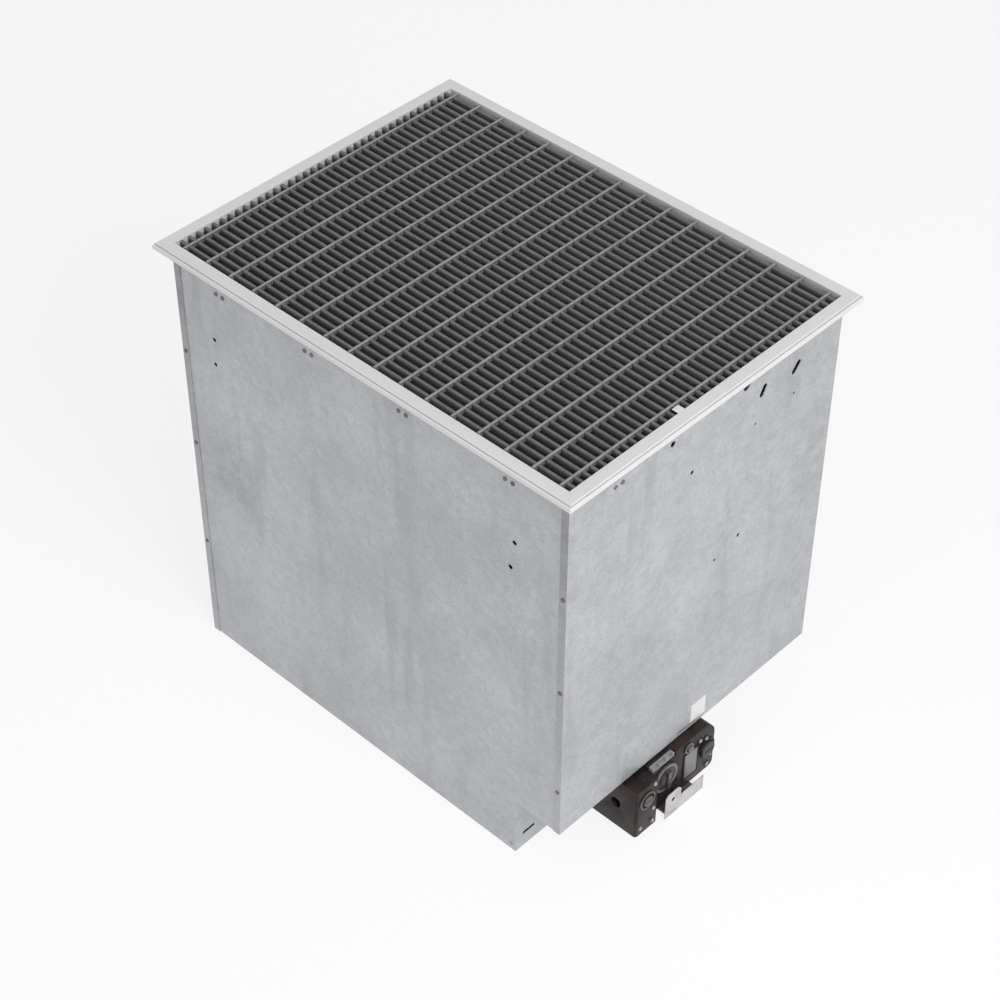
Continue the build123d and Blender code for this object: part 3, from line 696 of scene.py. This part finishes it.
# gas valve: rounded casting with screw bosses, a cover outline, cast rings and ribs
valve = {
    "face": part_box("valve_nameplate")[0].x / mm,
    "inletFace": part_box("valve_body")[1].x / mm,
    "edgeRadius": 1.6,
    "faceScrews": ((34, 78), (45, 34), (19, 84), (-36, 14), (40, 15)),
    "inletScrews": ((-102, 40), (-101, 94), (-131, 16), (-103, 12)),
    "screwSize": (3.8, 2.9, 2.2),          # washer, head and height
    "boss": (5.6, 4.3, 1.0),               # outer and inner radius, and height
    "capRing": (20.0, 17.4, 1.8),
    "capCentre": (34, 56),
    "cover": {
        "low": (-19.5, 20.5), "high": (16.5, 79.5), "height": 1.2,
        "rim": 2.2, "slope": 0.5, "dish": 1.0,
    },
    "ribs": {"at": (-36, 12), "half": 1.6, "back": 346, "front": 12, "low": 106, "high": 109.6},
}


def castRing(name, outer, inner, height):
    ring = addRound(name, (0, 0, 0), outer, height, 48)
    insetTop(ring, [(outer - inner, 0.0), (0.5, -height * 0.85)])
    soften(ring, 0.3, 2)
    return ring


def modelValveDetails():
    face = valve["face"]
    pieces = [
        placeCopies(castRing("screwBoss", *valve["boss"]), "faceBosses",
                    [((face, y, z), "+x") for y, z in valve["faceScrews"]]),
        placeCopies(castRing("capRing", *valve["capRing"]), "capRings",
                    [((face, *valve["capCentre"]), "+x")]),
    ]
    # raised edge round the cover that holds the plain plate
    edge = valve["cover"]
    cover = addBlock("coverEdge", (face, *edge["low"]), (face + edge["height"], *edge["high"]))
    pickFaces(cover, lambda centre, normal: normal.x > 0.9)
    bpy.ops.mesh.inset(thickness=edge["rim"] * mm, depth=0)
    bpy.ops.mesh.inset(thickness=edge["slope"] * mm, depth=-edge["dish"] * mm)
    bpy.ops.object.mode_set(mode="OBJECT")
    soften(cover, 0.35, 2)
    pieces.append(cover)
    # two cast ribs along the top of the body
    ribs = valve["ribs"]
    for y in ribs["at"]:
        rib = addBlock(
            "castRib", (ribs["back"], y - ribs["half"], ribs["low"]),
            (face - ribs["front"], y + ribs["half"], ribs["high"]))
        soften(rib, 0.9, 2)
        pieces.append(rib)
    return joinAll(pieces, "castDetails")


casting = nodeCopy("valve_body", "valveCasting")
soften(casting, valve["edgeRadius"], 3, 50)
finishPiece(casting, "casing", "dark_casting", finishes["dark_casting"], "valve_body")
finishPiece(modelValveDetails(), "casing", "dark_casting", finishes["dark_casting"])
valveScrews = placeCopies(
    hexScrew(*valve["screwSize"]), "valveScrewHeads",
    [((valve["face"], y, z), "+x") for y, z in valve["faceScrews"]]
    + [((valve["inletFace"], y, z), "+x") for y, z in valve["inletScrews"]])
finishPiece(valveScrews, "casing", "zinc_fixings", brightScrew, "valve_screws")


# parts that keep their CAD shape and only get rounded edges
# node, piece, width of the rounding, body, slot and finish
roundedNodes = (
    ("terminal_block", "terminalStrip", 0.5, "casing", "pale_plastic", finishes["pale_plastic"]),
    ("regulator_cap", "regulatorCap", 0.5, "casing", "dark_casting", finishes["dark_plastic"]),
    ("pressure_tap_plug", "tapPlug", 0.5, "casing", "brass", ownFinishes["pressure_tap_plug"]),
    ("valve_bracket", "valveBracket", 0.4, "casing", "galvanised_sheet", ownFinishes["valve_bracket"]),
    ("valve_nameplate", "barePlate", 0.3, "casing", "bare_plate", finishes["bare_plate"]),
    ("gas_cock_dial", "gasDial", 0.4, "gas_cock", "dark_plastic", finishes["dark_plastic"]),
    ("reset_button", "resetButton", 0.3, "pilot_button", "button_plastic", finishes["button_plastic"]),
)
for nodeName, name, width, body, slotName, material in roundedNodes:
    piece = nodeCopy(nodeName, name)
    soften(piece, width, 2, 40)
    finishPiece(piece, body, slotName, material, nodeName)

# paler rings that paint the highlights on the rims of the dial and the button: outer and inner radius,
# height above the valve's face, centre and body
paintedHighlightRings = {
    "dialRing": (25.6, 22.0, 3.4, (-64, 69), "gas_cock"),
    "buttonRing": (9.6, 7.2, 2.0, (-10, 92), "casing"),
}
ringHeight = 0.5


# each ring is a pale disc in front of a rim, a painted highlight
def paintedHighlightRing(name, outer, inner, rise, centre, body):
    # a disc whose two faces get a hole each, bridged into a ring
    ring = addRound(name, (0, 0, 0), outer, ringHeight, 64)
    for way in (1, -1):
        pickFaces(ring, lambda middle, normal: normal.z * way > 0.9)
        bpy.ops.mesh.inset(thickness=(outer - inner) * mm, depth=0)
        bpy.ops.mesh.delete(type="FACE")
        bpy.ops.object.mode_set(mode="OBJECT")
    bpy.ops.object.mode_set(mode="EDIT")
    bpy.ops.mesh.select_mode(type="EDGE")
    bpy.ops.mesh.select_all(action="DESELECT")
    bpy.ops.mesh.select_non_manifold()
    bpy.ops.mesh.bridge_edge_loops()
    bpy.ops.mesh.select_all(action="SELECT")
    bpy.ops.mesh.normals_make_consistent(inside=False)
    bpy.ops.object.mode_set(mode="OBJECT")
    ring = placeCopies(ring, name, [((valve["face"] + rise, *centre), "+x")])
    finishPiece(ring, body, "bare_plate", finishes["bare_plate"])


for name, ringValues in paintedHighlightRings.items():
    paintedHighlightRing(name, *ringValues)
print("valve modelled")


# swaged ribs that stiffen the fire box, seen when the grating is lifted out
chamber = {"ribs": (-190, -40, 110), "archRadius": 120, "spring": 330, "foot": 34, "ribRadius": 4.5}


def modelChamberRibs():
    ribs = []
    for x in chamber["ribs"]:
        deselectAll()
        bpy.ops.mesh.primitive_torus_add(
            major_radius=chamber["archRadius"] * mm, minor_radius=chamber["ribRadius"] * mm,
            major_segments=64, minor_segments=12,
            location=(x * mm, 0, chamber["spring"] * mm), rotation=(0, math.pi / 2, 0))
        rib = settle(bpy.context.object, "chamberRib")
        bpy.ops.object.mode_set(mode="EDIT")
        bpy.ops.mesh.select_all(action="SELECT")
        bpy.ops.mesh.bisect(
            plane_co=(0, 0, (chamber["spring"] + 0.1) * mm), plane_no=(0, 0, 1), clear_inner=True)
        bpy.ops.mesh.extrude_region_move(
            TRANSFORM_OT_translate={"value": (0, 0, (chamber["foot"] - chamber["spring"]) * mm)})
        bpy.ops.mesh.edge_face_add()
        bpy.ops.mesh.select_all(action="SELECT")
        bpy.ops.mesh.normals_make_consistent(inside=False)
        bpy.ops.object.mode_set(mode="OBJECT")
        ribs.append(rib)
    return joinAll(ribs, "chamberRibs")


finishPiece(modelChamberRibs(), "casing", "chamber_steel", finishes["chamber_steel"])
print("chamber ribs modelled")


studio = {
    "worldLight": 0.46,
    "floorSize": 14.0,
    "floorColour": (0.94, 0.94, 0.94),
    "floorGlow": 0.80,
    "key": {"at": (3.4, -0.9, 3.1), "size": 2.4, "power": 124},
    "fill": {"at": (-2.6, -3.4, 2.2), "size": 3.0, "power": 18},
}


def seenDirectly(tree):
    path = addNode(tree, "ShaderNodeLightPath")
    straight = math2(tree, "MAXIMUM", path.outputs["Is Camera Ray"], path.outputs["Is Glossy Ray"])
    return math2(tree, "MAXIMUM", straight, path.outputs["Is Transmission Ray"])


def buildStudio():
    world = bpy.data.worlds.new("studio")
    bpy.context.scene.world = world
    world.use_nodes = True
    tree = world.node_tree
    backdrop = tree.nodes["Background"]
    backdrop.inputs["Color"].default_value = (1, 1, 1, 1)
    strength = remap(tree, seenDirectly(tree), 0, 1, studio["worldLight"], 1.0)
    tree.links.new(strength, backdrop.inputs["Strength"])

    bpy.ops.object.select_all(action="DESELECT")
    bpy.ops.mesh.primitive_plane_add(size=studio["floorSize"], location=(0, 0, 0))
    floor = bpy.context.object
    floor.name = "floor"
    material, tree, shader = startMaterial("floorPaper")
    shader.inputs["Base Color"].default_value = (*studio["floorColour"], 1)
    shader.inputs["Roughness"].default_value = 0.9
    glow = addNode(tree, "ShaderNodeEmission", {"Color": (1, 1, 1, 1), "Strength": 1.0})
    share = math2(tree, "MULTIPLY", seenDirectly(tree), studio["floorGlow"])
    mixed = addNode(tree, "ShaderNodeMixShader", {0: share, 1: shader.outputs[0], 2: glow.outputs[0]})
    tree.links.new(mixed.outputs[0], tree.nodes["Material Output"].inputs["Surface"])
    floor.data.materials.append(material)

    for name in ("key", "fill"):
        values = studio[name]
        data = bpy.data.lights.new(name, "AREA")
        data.size = values["size"]
        data.energy = values["power"]
        lamp = bpy.data.objects.new(name, data)
        lamp.location = values["at"]
        aim = Vector((0, 0, 0.4)) - lamp.location
        lamp.rotation_euler = aim.to_track_quat("-Z", "Y").to_euler()
        bpy.context.scene.collection.objects.link(lamp)
    bpy.context.scene.view_settings.view_transform = "Standard"


buildStudio()
print("studio built")
